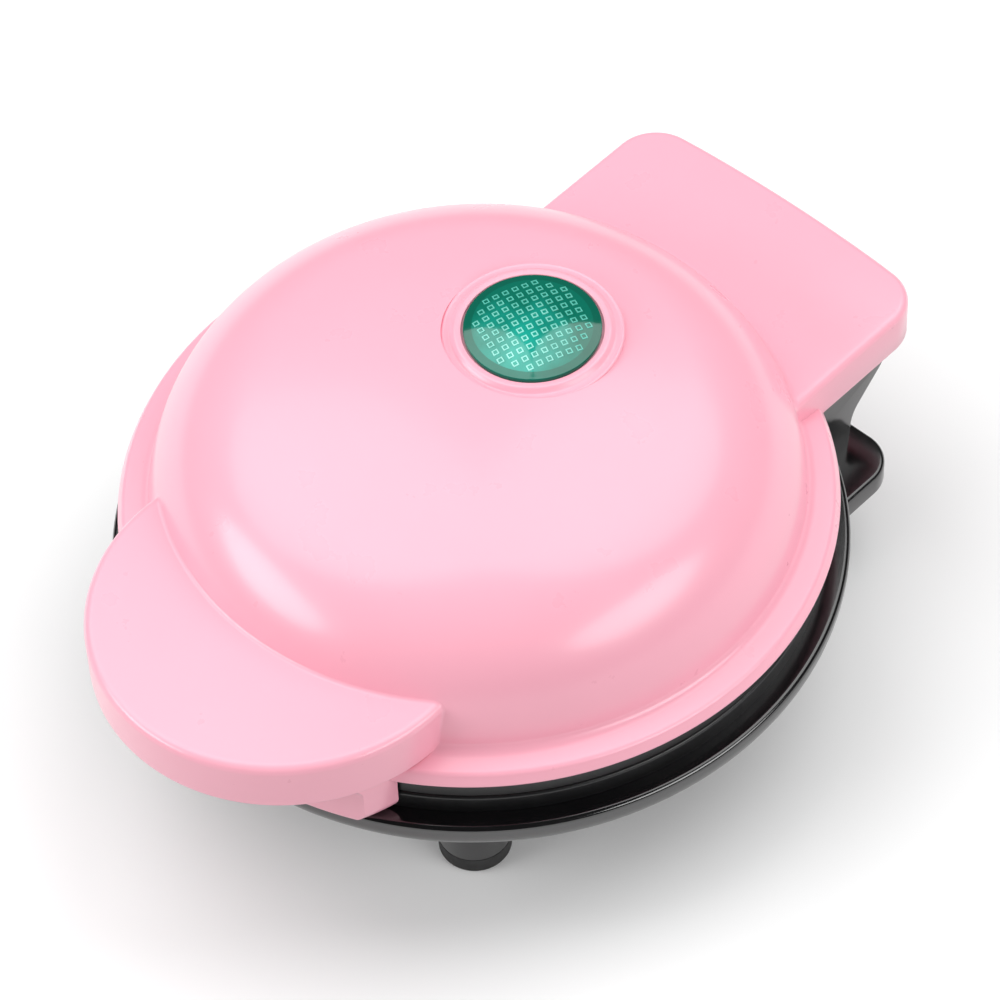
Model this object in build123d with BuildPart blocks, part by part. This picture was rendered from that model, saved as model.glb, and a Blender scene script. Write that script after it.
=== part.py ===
from build123d import *
import os
from math import cos, radians, sin, sqrt, tan

# Mini donut maker: a domed lid hinged behind a round base, each half with a cast plate.
# Millimetres, +Z up. The table is z = 0, the handle points to -Y and the hinge is at +Y.

# Lid
rim_radius = 62.5
rim_height = 38.0
dome_height = 31.2
crown_radius = 177.0
shoulder_radius = 24.5
dome_foot_inset = 5.8
dome_draft = 9.0
bead_height = 3.2
bead_inset = 1.2
bead_edge = 0.9
foot_fillet = 2.2
lid_wall = 2.3

# Handle and apron
handle_radius = 33.7
handle_inset = 16.4
handle_top = 12.9
handle_bottom = 3.1
handle_wall = 2.4
handle_edge = 1.6
apron_drop = 8.8
apron_cover = 1.4
apron_reach = 3.0
apron_flare = 2.2
apron_inset = 2.0

# Hinge cover
cover_width = 65.0
cover_reach = 19.5
cover_top = 8.4
cover_corner = 8.4
cover_bow = 325.0
cover_edge = 1.4

# Hinge
hinge_reach = 6.5
hinge_drop = 2.5
knuckle_radius = 4.3
pin_radius = 2.0
pin_length = 19.0
pin_inset = 0.5
pin_chamfer = 0.3
lug_centre = 21.0
lug_width = 6.0

# Base
lip_reach = 1.7
lip_edge = 1.0
ledge_drop = 9.05
bowl_corner_drop = 13.6
bowl_floor = 7.0
bowl_floor_inset = 20.6
bowl_corner = 6.0
bowl_inner_corner = 1.5
bowl_sweep = 25.0
base_wall = 2.2
mouth_inset = 4.9

# Rear column and the flange below it
waist_reach = 2.2
column_waist_drop = 13.0
column_reach = 0.9
column_bend = 6.0
flare_slope = 42.0
flange_width = 77.0
flange_reach = 5.4
flange_top_drop = 19.7
flange_thickness = 4.9
flange_corner = 7.0
flange_edge = 0.8
inlet_bore = 3.0
inlet_wall = 0.8
inlet_drop = 14.8
inlet_length = 7.0
inlet_flange = 1.2
inlet_lip = 0.5

# Feet
foot_radius = 6.35
foot_x = 30.3
foot_y = 35.0
pad_height = 3.5
pad_edge = 0.8
counterbore_depth = 2.0

# Frames and plates
parting_drop = 5.1
parting_gap = 0.3
plate_radius = 51.3
plate_thickness = 2.0
donut_count = 4
donut_pitch_radius = 28.3
donut_outer = 38.0
donut_peg = 11.0
mould_edge = 0.7
frame_inset = 2.1
frame_wall = 2.0
frame_edge = 0.6
frame_depth = 7.0
shelf_radius = 49.8
spider_radius = 36.0
spider_width = 9.0
spider_thickness = 2.5
plate_boss_pitch = 40.0
plate_boss_radius = 3.6
plate_boss_height = 2.0

# Heating elements, shields and thermostat
element_radius = 3.0
element_arc = 316.0
terminal_radius = 1.2
terminal_arc = 12.0
clamp_width = 9.0
clamp_thickness = 1.2
clamp_reach = 33.0
clamp_middle = 9.0
hub_radius = 5.0
shield_radius = 40.5
shield_thickness = 0.6
shield_rim = 2.5
shield_gap = 2.2
pillar_radius = 2.5
pillar_pitch = 34.0
pillar_count = 3
thermostat_radius = 7.2
thermostat_height = 4.5
fuse_radius = 2.0
fuse_length = 12.0
fuse_y = 17.0
fuse_lead = 8.0
fuse_wire = 0.5
fuse_end = 0.5
blade_width = 4.8
blade_reach = 5.0
blade_thickness = 0.8

# Lamp
lens_radius = 11.8
lens_y = 14.9
lens_seat = 30.4
lens_rim = 0.8
lens_rise = 1.7
lens_skirt = 10.0
lens_skirt_wall = 1.2
lens_skirt_depth = 6.0
collar_width = 1.6
collar_height = 0.5
collar_edge = 0.35
landing_width = 1.9
holder_radius = 8.5
holder_depth = 9.0
holder_wall = 1.0
lamp_radius = 2.6
lamp_length = 9.0
lamp_end = 1.5
clip_height = 1.2
clip_width = 2.0

# Screws
screw_radius = 1.5
screw_head_radius = 2.8
screw_head = 2.0
screw_dome = 0.8
screw_hold = 6.0
screw_wall = 2.2

# Clearances
fit = 0.3
running = 0.05
side_gap = 0.4
lap = 1.0
near = 0.01

# Places worked out from the sizes above
dome_foot_radius = rim_radius - dome_foot_inset
bead_radius = rim_radius - bead_inset
handle_centre = rim_radius - handle_inset
apron_inner = rim_radius - apron_cover
apron_outer = rim_radius + apron_reach
cover_rear = rim_radius + cover_reach
hinge_y = rim_radius + hinge_reach
lip_radius = rim_radius + lip_reach
base_mouth = rim_radius - mouth_inset
bowl_floor_radius = rim_radius - bowl_floor_inset
column_waist = rim_radius + waist_reach
column_foot = rim_radius + column_reach
flange_rear = rim_radius + flange_reach
frame_radius = rim_radius - frame_inset
axis_y = (handle_centre + handle_radius - cover_rear) / 2
bowl_axis = Axis((0, axis_y, 0), (0, 0, 1))
crown_z = rim_height + dome_height
bead_z = rim_height + bead_height
axle_z = rim_height - hinge_drop
parting_z = rim_height - parting_drop
ledge_z = rim_height - ledge_drop
flange_z = rim_height - flange_top_drop
inlet_z = rim_height - inlet_drop
lens_z = rim_height + lens_seat
face_z = parting_z - parting_gap / 2
land_z = face_z - plate_thickness
ring_radius = (donut_outer + donut_peg) / 4
mould_radius = (donut_outer - donut_peg) / 4
mould_z = face_z - mould_radius - plate_thickness
spider_z = land_z - plate_boss_height
element_z = mould_z - element_radius
clamp_z = element_z - element_radius
shield_z = clamp_z - clamp_thickness - shield_gap
column_half = cover_width / 2 - lid_wall - fit
recess_depth = bead_height - screw_wall
column_start = rim_radius / 2
parting_plane = Plane.XY.offset(parting_z)
boss_angle = 180 / donut_count
boss_turns = [radians(boss_angle + 360 / donut_count * step) for step in range(donut_count)]
bosses = [(plate_boss_pitch * cos(turn), plate_boss_pitch * sin(turn)) for turn in boss_turns]
feet = [(x, y) for x in (-foot_x, foot_x) for y in (-foot_y, foot_y)]


def level(height, x=0.0, y=0.0):
    """Horizontal plane, with its origin measured from the bowl's axis."""
    return Plane((x, axis_y + y, height))


def radial(angle):
    """Upright plane through the bowl's axis: local X runs outwards and local Y runs up."""
    turn = radians(angle)
    return Plane((0, axis_y, 0), x_dir=(cos(turn), sin(turn), 0), z_dir=(sin(turn), -cos(turn), 0))


def side(x):
    """Upright plane that faces +X: local X runs to the rear and local Y runs up."""
    return Plane((x, axis_y, 0), x_dir=(0, 1, 0), z_dir=(1, 0, 0))


def rear(y):
    """Upright plane that faces +Y, its origin on the bowl's axis."""
    return Plane((0, axis_y + y, 0), x_dir=(-1, 0, 0), z_dir=(0, 1, 0))


def ring_edges(part, radius, height):
    """Circular edges of that radius about any upright axis, at that height."""
    rings = part.edges().filter_by(GeomType.CIRCLE).filter_by_position(Axis.Z, height - near, height + near)
    return rings.filter_by(lambda edge: abs(edge.radius - radius) < near)


def dome_section(inset, base_z, rim=()):
    """Half section of the dome, drawn in by a wall's thickness, down to a height or to the rim's points."""
    top = crown_z - inset
    radius = crown_radius - inset
    slope = tan(radians(dome_draft))
    foot = dome_foot_radius - inset + slope * (bead_z - base_z)
    drop = radius - sqrt(radius**2 - foot**2)
    corner = foot - slope * (top - drop - base_z)
    corner_z = top - radius + sqrt(radius**2 - corner**2)
    outline = [(corner, corner_z), (foot, base_z), *rim]
    with BuildSketch(radial(0)) as section:
        with BuildLine():
            RadiusArc((0, top), (corner, corner_z), radius)
            Polyline(*outline, (0, outline[-1][1]), (0, top))
        make_face()
        fillet(section.vertices().sort_by(Axis.Y)[-2], shoulder_radius - inset)
        if rim:
            at_bead = section.vertices().filter_by_position(Axis.Y, bead_z - near, bead_z + near)
            fillet(at_bead.sort_by(Axis.X)[-1], bead_edge)
            fillet(at_bead.sort_by(Axis.X)[-2], foot_fillet)
    return section.sketch


# Lid shell: dome and rim, handle, apron and hinge cover in one moulding
with BuildPart() as dome:
    add(dome_section(0, bead_z, rim=[(bead_radius, bead_z), (rim_radius, rim_height)]))
    revolve(axis=bowl_axis)

with BuildPart() as apron:
    with BuildSketch(radial(0)):
        apron_top = rim_height + handle_bottom + lap
        Polygon(
            (apron_inner, rim_height - apron_drop),
            (apron_outer, rim_height - apron_drop),
            (apron_outer + apron_flare, apron_top),
            (apron_inner, apron_top),
            align=None,
        )
    revolve(axis=bowl_axis)
    with BuildSketch(level(rim_height - apron_drop, y=-handle_centre)):
        Circle(handle_radius - apron_inset)
    extrude(amount=apron_drop + handle_bottom + lap, mode=Mode.INTERSECT)

with BuildPart() as lid_shell:
    add(dome)
    with BuildSketch(level(rim_height + handle_bottom, y=-handle_centre)):
        Circle(handle_radius)
    extrude(amount=handle_top - handle_bottom)
    fillet(ring_edges(lid_shell, handle_radius, rim_height + handle_top), handle_edge)

    with BuildSketch(level(rim_height)) as cover_plan:
        half = cover_width / 2
        shoulder_y = cover_rear - cover_bow + sqrt(cover_bow**2 - half**2)
        with BuildLine():
            RadiusArc((-half, shoulder_y), (half, shoulder_y), cover_bow)
            Polyline((half, shoulder_y), (half, handle_centre), (-half, handle_centre), (-half, shoulder_y))
        make_face()
        fillet(cover_plan.vertices().group_by(Axis.Y)[-1], cover_corner)
    extrude(amount=cover_top)
    cover_z = rim_height + cover_top
    cover_edges = lid_shell.edges().filter_by_position(Axis.Z, cover_z - near, cover_z + near)
    fillet(cover_edges.filter_by(lambda edge: edge.center().Y > axis_y + dome_foot_radius), cover_edge)

    # Round landing, collar and seat for the lens
    landing_radius = lens_radius + fit + collar_width + landing_width
    with BuildSketch(level(lens_z, y=lens_y)):
        Circle(landing_radius)
    extrude(amount=dome_height, mode=Mode.SUBTRACT)
    with BuildSketch(level(lens_z - lid_wall, y=lens_y)):
        Circle(landing_radius)
    extrude(amount=lid_wall)
    with BuildSketch(level(lens_z, y=lens_y)):
        Circle(lens_radius + fit + collar_width)
        Circle(lens_radius + fit, mode=Mode.SUBTRACT)
    extrude(amount=collar_height)
    fillet(ring_edges(lid_shell, lens_radius + fit + collar_width, lens_z + collar_height), collar_edge)

    # Hollow dome, with a recess for the frame in its rim
    add(dome_section(lid_wall, rim_height))
    revolve(axis=bowl_axis, mode=Mode.SUBTRACT)
    with BuildSketch(level(rim_height)):
        Circle(frame_radius)
    extrude(amount=recess_depth, mode=Mode.SUBTRACT)
    with BuildSketch(level(lens_z, y=lens_y)):
        Circle(lens_skirt + fit)
    extrude(amount=-dome_height, mode=Mode.SUBTRACT)

    # Hollow handle, open underneath
    with BuildSketch(level(rim_height + handle_bottom)):
        with Locations((0, -handle_centre)):
            Circle(handle_radius - handle_wall)
        Circle(apron_outer + apron_flare, mode=Mode.SUBTRACT)
    extrude(amount=handle_top - handle_bottom - handle_wall, mode=Mode.SUBTRACT)
    add(apron)

    # Hollow hinge cover, open underneath behind the rim
    with BuildSketch(level(rim_height)):
        with Locations((0, rim_radius)):
            Rectangle(
                cover_width - 2 * lid_wall,
                cover_rear - rim_radius - 2 * lid_wall,
                align=(Align.CENTER, Align.MIN),
            )
        Circle(rim_radius, mode=Mode.SUBTRACT)
    extrude(amount=cover_top - lid_wall, mode=Mode.SUBTRACT)

    # Lugs on the hinge pins
    lug_radius = knuckle_radius - fit
    for x in (-lug_centre, lug_centre):
        with BuildSketch(side(x)):
            with Locations((hinge_y, axle_z)):
                Circle(lug_radius)
                Rectangle(2 * lug_radius, hinge_drop + cover_top - lid_wall, align=(Align.CENTER, Align.MIN))
                Circle(pin_radius + running, mode=Mode.SUBTRACT)
        extrude(amount=lug_width / 2, both=True)

    # Bosses for the screws of the lid's frame
    boss_z = 2 * parting_z - spider_z + spider_thickness
    with BuildSketch(level(boss_z)):
        with Locations(*feet):
            Circle(screw_radius + screw_wall)
            Circle(screw_radius + running, mode=Mode.SUBTRACT)
    extrude(until=Until.NEXT)

    # Pillars that the heat shield hangs from
    with BuildSketch(level(2 * parting_z - shield_z)):
        with PolarLocations(pillar_pitch, pillar_count, start_angle=90):
            Circle(pillar_radius)
    extrude(until=Until.NEXT)

lid_shell.part.label = "lid_shell"
export_step(lid_shell.part, "parts/lid_shell.step")


# Base shell: bowl, rear column with the hinge knuckles, cord flange and feet in one moulding
def bowl_section(inset):
    """Half section of the bowl below its ledge, drawn in by a wall's thickness."""
    rise = rim_height - bowl_corner_drop - bowl_floor
    slope = Vector(lip_radius - bowl_floor_radius, rise, 0).get_angle(Vector(1, 0, 0))
    floor_z = bowl_floor + inset
    floor_edge = bowl_floor_radius - inset * tan(radians(slope / 2))
    corner_z = rim_height - bowl_corner_drop + inset * tan(radians(45 - slope / 2))
    wall_radius = lip_radius - inset
    top_z = ledge_z - inset
    with BuildSketch(radial(0)) as section:
        Polygon(
            (0, floor_z),
            (floor_edge, floor_z),
            (wall_radius, corner_z),
            (wall_radius, top_z),
            (0, top_z),
            align=None,
        )
        at_floor = section.vertices().filter_by_position(Axis.X, lap, wall_radius - lap)
        fillet(at_floor, bowl_sweep - inset)
        corner = bowl_inner_corner if inset else bowl_corner
        fillet(section.vertices().filter_by_position(Axis.Y, corner_z - near, corner_z + near), corner)
        if not inset:
            fillet(section.vertices().sort_by(Axis.Y)[-2:].sort_by(Axis.X)[-1], lip_edge)
    return section.sketch


flare = radians(flare_slope)
flare_end = (hinge_y + knuckle_radius * sin(flare), axle_z - knuckle_radius * cos(flare))
waist_z = rim_height - column_waist_drop
bend = (column_waist, flare_end[1] - (flare_end[0] - column_waist) * tan(flare))
column_low = flange_z - flange_thickness
post_radius = screw_radius + screw_wall
bowl_slope = (rim_height - bowl_corner_drop - bowl_floor) / (lip_radius - bowl_floor_radius)
post_reach = sqrt(foot_x**2 + foot_y**2) + post_radius
climb = bowl_slope * max(post_reach - bowl_floor_radius, 0)
foot_boss_z = bowl_floor + climb + base_wall * sqrt(1 + bowl_slope**2) + 2 * fit
counterbore_z = bowl_floor + counterbore_depth

with BuildPart() as flange:
    with BuildSketch(level(column_low)) as flange_plan:
        with Locations((0, column_start)):
            Rectangle(flange_width, flange_rear - column_start, align=(Align.CENTER, Align.MIN))
        fillet(flange_plan.vertices().group_by(Axis.Y)[-1], flange_corner)
    extrude(amount=flange_thickness)
    rims = flange.edges().filter_by(Plane.XY)
    fillet(rims.filter_by(lambda edge: edge.center().Y > axis_y + column_start + lap), flange_edge)

with BuildPart() as base_shell:
    add(bowl_section(0))
    revolve(axis=bowl_axis)
    with BuildSketch(side(0)) as column_side:
        Polygon(
            (column_start, column_low),
            (column_foot, column_low),
            bend,
            flare_end,
            (hinge_y, axle_z),
            (hinge_y, rim_height - fit),
            (column_start, rim_height - fit),
            align=None,
        )
        fillet(column_side.vertices().sort_by_distance((bend[0], bend[1], 0))[0], column_bend)
        with Locations((hinge_y, axle_z)):
            Circle(knuckle_radius)
    extrude(amount=column_half, both=True)
    add(flange)
    with BuildSketch(level(ledge_z)):
        Circle(frame_radius + fit)
    extrude(amount=ledge_drop, mode=Mode.SUBTRACT)

    # Hollow bowl, its mouth and the room behind it in the column
    add(bowl_section(base_wall))
    revolve(axis=bowl_axis, mode=Mode.SUBTRACT)
    with BuildSketch(level(ledge_z)):
        Circle(base_mouth)
    extrude(amount=-base_wall, mode=Mode.SUBTRACT)
    with BuildSketch(level(flange_z)):
        Rectangle(2 * (column_half - base_wall), column_foot - base_wall, align=(Align.CENTER, Align.MIN))
    extrude(amount=bend[1] - flange_z, mode=Mode.SUBTRACT)

    # Slots for the lid's lugs, and the bores of the hinge pins
    for x in (-lug_centre, lug_centre):
        with BuildSketch(side(x)):
            with Locations((hinge_y, axle_z)):
                Circle(knuckle_radius + fit)
                Rectangle(2 * (knuckle_radius + fit), 2 * knuckle_radius, align=(Align.CENTER, Align.MIN))
        extrude(amount=lug_width / 2 + side_gap, both=True, mode=Mode.SUBTRACT)
        with BuildSketch(side(x)):
            with Locations((hinge_y, axle_z)):
                Circle(pin_radius + running)
        outward = 1 if x > 0 else -1
        extrude(amount=outward * (column_half - lug_centre), mode=Mode.SUBTRACT)
        with BuildSketch(side(x)):
            with Locations((hinge_y, axle_z)):
                Circle(pin_radius + running)
        inward = pin_length + pin_inset - (column_half - lug_centre)
        extrude(amount=-outward * inward, mode=Mode.SUBTRACT)

    # Feet, with a screw boss over each
    for x, y in feet:
        with BuildSketch(level(pad_height, x, y)):
            Circle(foot_radius)
        extrude(until=Until.NEXT)
        with BuildSketch(level(foot_boss_z, x, y)):
            Circle(post_radius)
        extrude(until=Until.NEXT, dir=(0, 0, -1))
        with BuildSketch(level(pad_height, x, y)):
            Circle(screw_head_radius + fit)
        extrude(amount=counterbore_z - pad_height, mode=Mode.SUBTRACT)
        with BuildSketch(level(counterbore_z, x, y)):
            Circle(screw_radius + running)
        extrude(amount=foot_boss_z - counterbore_z, mode=Mode.SUBTRACT)

    # Pillars under the heat shield
    with BuildSketch(level(shield_z)):
        with PolarLocations(pillar_pitch, pillar_count, start_angle=90):
            Circle(pillar_radius)
    extrude(until=Until.NEXT, dir=(0, 0, -1))

    # Seat and bore for the inlet bush
    bush_radius = inlet_bore + inlet_wall
    with BuildSketch(rear(column_waist + lap)):
        with Locations((0, inlet_z)):
            Circle(bush_radius + inlet_lip + fit)
    extrude(amount=knuckle_radius, mode=Mode.SUBTRACT)
    with BuildSketch(rear(column_waist + lap)):
        with Locations((0, inlet_z)):
            Circle(bush_radius + inlet_lip + fit)
    extrude(amount=-base_wall - lap)
    with BuildSketch(rear(column_waist + lap)):
        with Locations((0, inlet_z)):
            Circle(bush_radius + running)
    extrude(amount=-inlet_length, mode=Mode.SUBTRACT)

base_shell.part.label = "base_shell"
export_step(base_shell.part, "parts/base_shell.step")

with BuildPart() as inlet_bush:
    with BuildSketch(rear(column_waist + lap)):
        with Locations((0, inlet_z)):
            Circle(bush_radius)
            Circle(inlet_bore, mode=Mode.SUBTRACT)
    extrude(amount=-inlet_length)
    with BuildSketch(rear(column_waist + lap)):
        with Locations((0, inlet_z)):
            Circle(bush_radius + inlet_lip)
            Circle(inlet_bore, mode=Mode.SUBTRACT)
    extrude(amount=inlet_flange)

inlet_bush.part.label = "inlet_bush"
export_step(inlet_bush.part, "parts/inlet_bush.step")

# Foot pads
for name, x, y in (
    ("front_foot_left", -foot_x, -foot_y),
    ("front_foot_right", foot_x, -foot_y),
    ("rear_foot_left", -foot_x, foot_y),
    ("rear_foot_right", foot_x, foot_y),
):
    with BuildPart() as pad:
        with BuildSketch(level(0, x, y)):
            Circle(foot_radius)
        extrude(amount=pad_height)
        fillet(ring_edges(pad, foot_radius, 0), pad_edge)
    pad.part.label = name
    export_step(pad.part, f"parts/{name}.step")

# Hinge pins
for name, outward in (("hinge_pin_left", -1), ("hinge_pin_right", 1)):
    with BuildPart() as pin:
        with BuildSketch(side(outward * (column_half - pin_inset))):
            with Locations((hinge_y, axle_z)):
                Circle(pin_radius)
        extrude(amount=-outward * pin_length)
        chamfer(pin.edges().filter_by(GeomType.CIRCLE), pin_chamfer)
    pin.part.label = name
    export_step(pin.part, f"parts/{name}.step")

# Frames: a ring round each plate, with a shelf under its edge and four arms under its bosses
frame_inner = plate_radius + fit
with BuildPart() as base_frame:
    with BuildSketch(radial(0)):
        Polygon(
            (frame_inner, face_z),
            (frame_radius, face_z),
            (frame_radius, ledge_z),
            (frame_radius - frame_wall, ledge_z),
            (frame_radius - frame_wall, face_z - frame_wall),
            (base_mouth - fit, face_z - frame_wall),
            (base_mouth - fit, face_z - frame_depth),
            (base_mouth - fit - frame_wall, face_z - frame_depth),
            (base_mouth - fit - frame_wall, land_z),
            (frame_inner + frame_wall, land_z),
            (frame_inner + frame_wall, land_z - frame_wall),
            (shelf_radius, land_z - frame_wall),
            (shelf_radius, land_z),
            (frame_inner, land_z),
            align=None,
        )
    revolve(axis=bowl_axis)
    with BuildSketch(level(spider_z)):
        with PolarLocations(0, donut_count, start_angle=boss_angle):
            with Locations((spider_radius, 0)):
                Rectangle(base_mouth - lap - spider_radius, spider_width, align=(Align.MIN, Align.CENTER))
        with PolarLocations(plate_boss_pitch, donut_count, start_angle=boss_angle):
            Circle(screw_radius + running, mode=Mode.SUBTRACT)
    extrude(amount=-spider_thickness)
    with BuildSketch(level(foot_boss_z)):
        with Locations(*feet):
            Circle(post_radius)
    extrude(amount=spider_z - foot_boss_z)
    with BuildSketch(level(foot_boss_z)):
        with Locations(*feet):
            Circle(screw_radius + running)
    extrude(amount=spider_z - foot_boss_z - lap, mode=Mode.SUBTRACT)
    fillet(ring_edges(base_frame, frame_radius, face_z), frame_edge)

base_frame.part.label = "base_frame"
export_step(base_frame.part, "parts/base_frame.step")

with BuildPart() as lid_frame:
    top_z = 2 * parting_z - face_z
    outer = frame_radius - fit
    with BuildSketch(radial(0)):
        rim_top = rim_height + recess_depth
        Polygon(
            (frame_inner, top_z),
            (outer, top_z),
            (outer, rim_top),
            (outer - frame_wall, rim_top),
            (outer - frame_wall, top_z + frame_wall),
            (frame_inner + frame_wall, top_z + frame_wall),
            (frame_inner + frame_wall, top_z + 2 * frame_wall),
            (shelf_radius, top_z + 2 * frame_wall),
            (shelf_radius, top_z + frame_wall),
            (frame_inner, top_z + frame_wall),
            align=None,
        )
    revolve(axis=bowl_axis)
    arm_z = top_z + 2 * frame_wall
    with BuildSketch(level(arm_z)):
        with PolarLocations(0, donut_count, start_angle=boss_angle):
            with Locations((spider_radius, 0)):
                Rectangle(frame_inner + frame_wall - spider_radius, spider_width, align=(Align.MIN, Align.CENTER))
        with Locations(*feet):
            Circle(post_radius)
        with PolarLocations(plate_boss_pitch, donut_count, start_angle=boss_angle):
            Circle(screw_radius + running, mode=Mode.SUBTRACT)
        with Locations(*feet):
            Circle(screw_radius + running, mode=Mode.SUBTRACT)
    extrude(amount=spider_thickness)

lid_frame.part.label = "lid_frame"
export_step(lid_frame.part, "parts/lid_frame.step")

# Plates: four half moulds of a ring doughnut in each, with rounded edges
with BuildPart() as mould:
    with BuildSketch(Plane.XZ) as mould_half:
        with Locations((ring_radius, face_z)):
            Circle(mould_radius)
            Rectangle(2 * (mould_radius + lap), mould_radius, align=(Align.CENTER, Align.MIN))
        at_face = mould_half.vertices().filter_by_position(Axis.Y, face_z - near, face_z + near)
        fillet(at_face.filter_by_position(Axis.X, donut_peg / 2 - near, donut_outer / 2 + near), mould_edge)
    revolve(axis=Axis.Z)

with BuildPart() as lower_plate:
    with BuildSketch(level(face_z)):
        Circle(plate_radius)
    extrude(amount=-plate_thickness)
    with Locations(level(face_z)):
        with PolarLocations(donut_pitch_radius, donut_count):
            Torus(ring_radius, mould_radius + plate_thickness)
    split(bisect_by=Plane.XY.offset(face_z), keep=Keep.BOTTOM)
    with BuildSketch(level(land_z)):
        with PolarLocations(plate_boss_pitch, donut_count, start_angle=boss_angle):
            Circle(plate_boss_radius)
    extrude(amount=spider_z - land_z)
    with BuildSketch(level(land_z)):
        Circle(hub_radius)
    extrude(amount=mould_z - land_z)
    with Locations(level(0)):
        with PolarLocations(donut_pitch_radius, donut_count):
            add(mould.part, mode=Mode.SUBTRACT)
    with BuildSketch(level(spider_z)):
        with PolarLocations(plate_boss_pitch, donut_count, start_angle=boss_angle):
            Circle(screw_radius + running)
    extrude(amount=plate_boss_height + plate_thickness / 2, mode=Mode.SUBTRACT)
    with BuildSketch(level(mould_z)):
        Circle(screw_radius + running)
    extrude(amount=land_z - mould_z, mode=Mode.SUBTRACT)

lower_plate.part.label = "lower_plate"
export_step(lower_plate.part, "parts/lower_plate.step")

with BuildPart() as upper_plate:
    mirror(lower_plate.part, about=parting_plane)

upper_plate.part.label = "upper_plate"
export_step(upper_plate.part, "parts/upper_plate.step")

# Tubular heating elements, each an open ring under the moulds with a pin at either end
with BuildPart() as lower_element:
    start = 90 + (360 - element_arc) / 2
    with BuildSketch(radial(start)):
        with Locations((donut_pitch_radius, element_z)):
            Circle(element_radius)
    revolve(axis=bowl_axis, revolution_arc=element_arc)
    with BuildSketch(radial(start)):
        with Locations((donut_pitch_radius, element_z)):
            Circle(terminal_radius)
    revolve(axis=bowl_axis, revolution_arc=-terminal_arc)
    with BuildSketch(radial(start + element_arc)):
        with Locations((donut_pitch_radius, element_z)):
            Circle(terminal_radius)
    revolve(axis=bowl_axis, revolution_arc=terminal_arc)

lower_element.part.label = "lower_element"
export_step(lower_element.part, "parts/lower_element.step")

with BuildPart() as upper_element:
    mirror(lower_element.part, about=parting_plane)

upper_element.part.label = "upper_element"
export_step(upper_element.part, "parts/upper_element.step")

# Clamp strips, bent up in the middle to the plate's hub
with BuildPart() as lower_element_clamp:
    with BuildSketch(Plane((0, axis_y, 0), x_dir=(1, 0, 0), z_dir=(0, -1, 0))):
        with BuildLine():
            rise = mould_z - clamp_z
            knee = clamp_middle + rise
            Polyline(
                (-clamp_reach, clamp_z),
                (-knee, clamp_z),
                (-clamp_middle, mould_z),
                (clamp_middle, mould_z),
                (knee, clamp_z),
                (clamp_reach, clamp_z),
                (clamp_reach, clamp_z - clamp_thickness),
                (knee - clamp_thickness, clamp_z - clamp_thickness),
                (clamp_middle - clamp_thickness, mould_z - clamp_thickness),
                (-clamp_middle + clamp_thickness, mould_z - clamp_thickness),
                (-knee + clamp_thickness, clamp_z - clamp_thickness),
                (-clamp_reach, clamp_z - clamp_thickness),
                close=True,
            )
        make_face()
    extrude(amount=clamp_width / 2, both=True)
    with BuildSketch(level(mould_z)):
        Circle(screw_radius + running)
    extrude(amount=-clamp_thickness, mode=Mode.SUBTRACT)

lower_element_clamp.part.label = "lower_element_clamp"
export_step(lower_element_clamp.part, "parts/lower_element_clamp.step")

with BuildPart() as upper_element_clamp:
    mirror(lower_element_clamp.part, about=parting_plane)

upper_element_clamp.part.label = "upper_element_clamp"
export_step(upper_element_clamp.part, "parts/upper_element_clamp.step")

# Heat shields, dished at the rim
with BuildPart() as lower_heat_shield:
    with BuildSketch(radial(0)):
        Polygon(
            (0, shield_z),
            (shield_radius - shield_rim, shield_z),
            (shield_radius, shield_z + shield_rim),
            (shield_radius, shield_z + shield_rim + shield_thickness),
            (shield_radius - shield_rim, shield_z + shield_thickness),
            (0, shield_z + shield_thickness),
            align=None,
        )
    revolve(axis=bowl_axis)

lower_heat_shield.part.label = "lower_heat_shield"
export_step(lower_heat_shield.part, "parts/lower_heat_shield.step")

with BuildPart() as upper_heat_shield:
    mirror(lower_heat_shield.part, about=parting_plane)

upper_heat_shield.part.label = "upper_heat_shield"
export_step(upper_heat_shield.part, "parts/upper_heat_shield.step")

# Round-headed screws, their heads under the face that they hold
screw_sets = {}
for name, places, seat_z, reach in (
    ("lower_plate_screws", bosses, spider_z - spider_thickness, spider_thickness + plate_boss_height),
    ("lower_clamp_screw", [(0, 0)], mould_z - clamp_thickness, clamp_thickness + land_z - mould_z - lap),
    ("base_screws", feet, counterbore_z, foot_boss_z - counterbore_z + screw_hold),
    ("lid_frame_screws", feet, arm_z, spider_thickness + screw_hold),
):
    with BuildPart() as screws:
        with BuildSketch(level(seat_z)):
            with Locations(*places):
                Circle(screw_head_radius)
        extrude(amount=-screw_head)
        fillet(screws.edges().filter_by(GeomType.CIRCLE).group_by(Axis.Z)[0], screw_dome)
        with BuildSketch(level(seat_z)):
            with Locations(*places):
                Circle(screw_radius)
        extrude(amount=reach)
    screws.part.label = name
    export_step(screws.part, f"parts/{name}.step")
    screw_sets[name] = screws.part

for name, below in (("upper_plate_screws", "lower_plate_screws"), ("upper_clamp_screw", "lower_clamp_screw")):
    with BuildPart() as screws:
        mirror(screw_sets[below], about=parting_plane)
    screws.part.label = name
    export_step(screws.part, f"parts/{name}.step")

# Thermostat under the clamp's middle, and the fuse in its sleeve on the heat shield
with BuildPart() as thermostat:
    thermostat_z = mould_z - clamp_thickness - screw_head - fit
    with BuildSketch(level(thermostat_z)):
        Circle(thermostat_radius)
    extrude(amount=-thermostat_height)
    with BuildSketch(level(thermostat_z - thermostat_height / 2)):
        with Locations((0, thermostat_radius), (0, -thermostat_radius)):
            Rectangle(blade_width, 2 * blade_reach)
    extrude(amount=-blade_thickness)

thermostat.part.label = "thermostat"
export_step(thermostat.part, "parts/thermostat.step")

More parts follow.
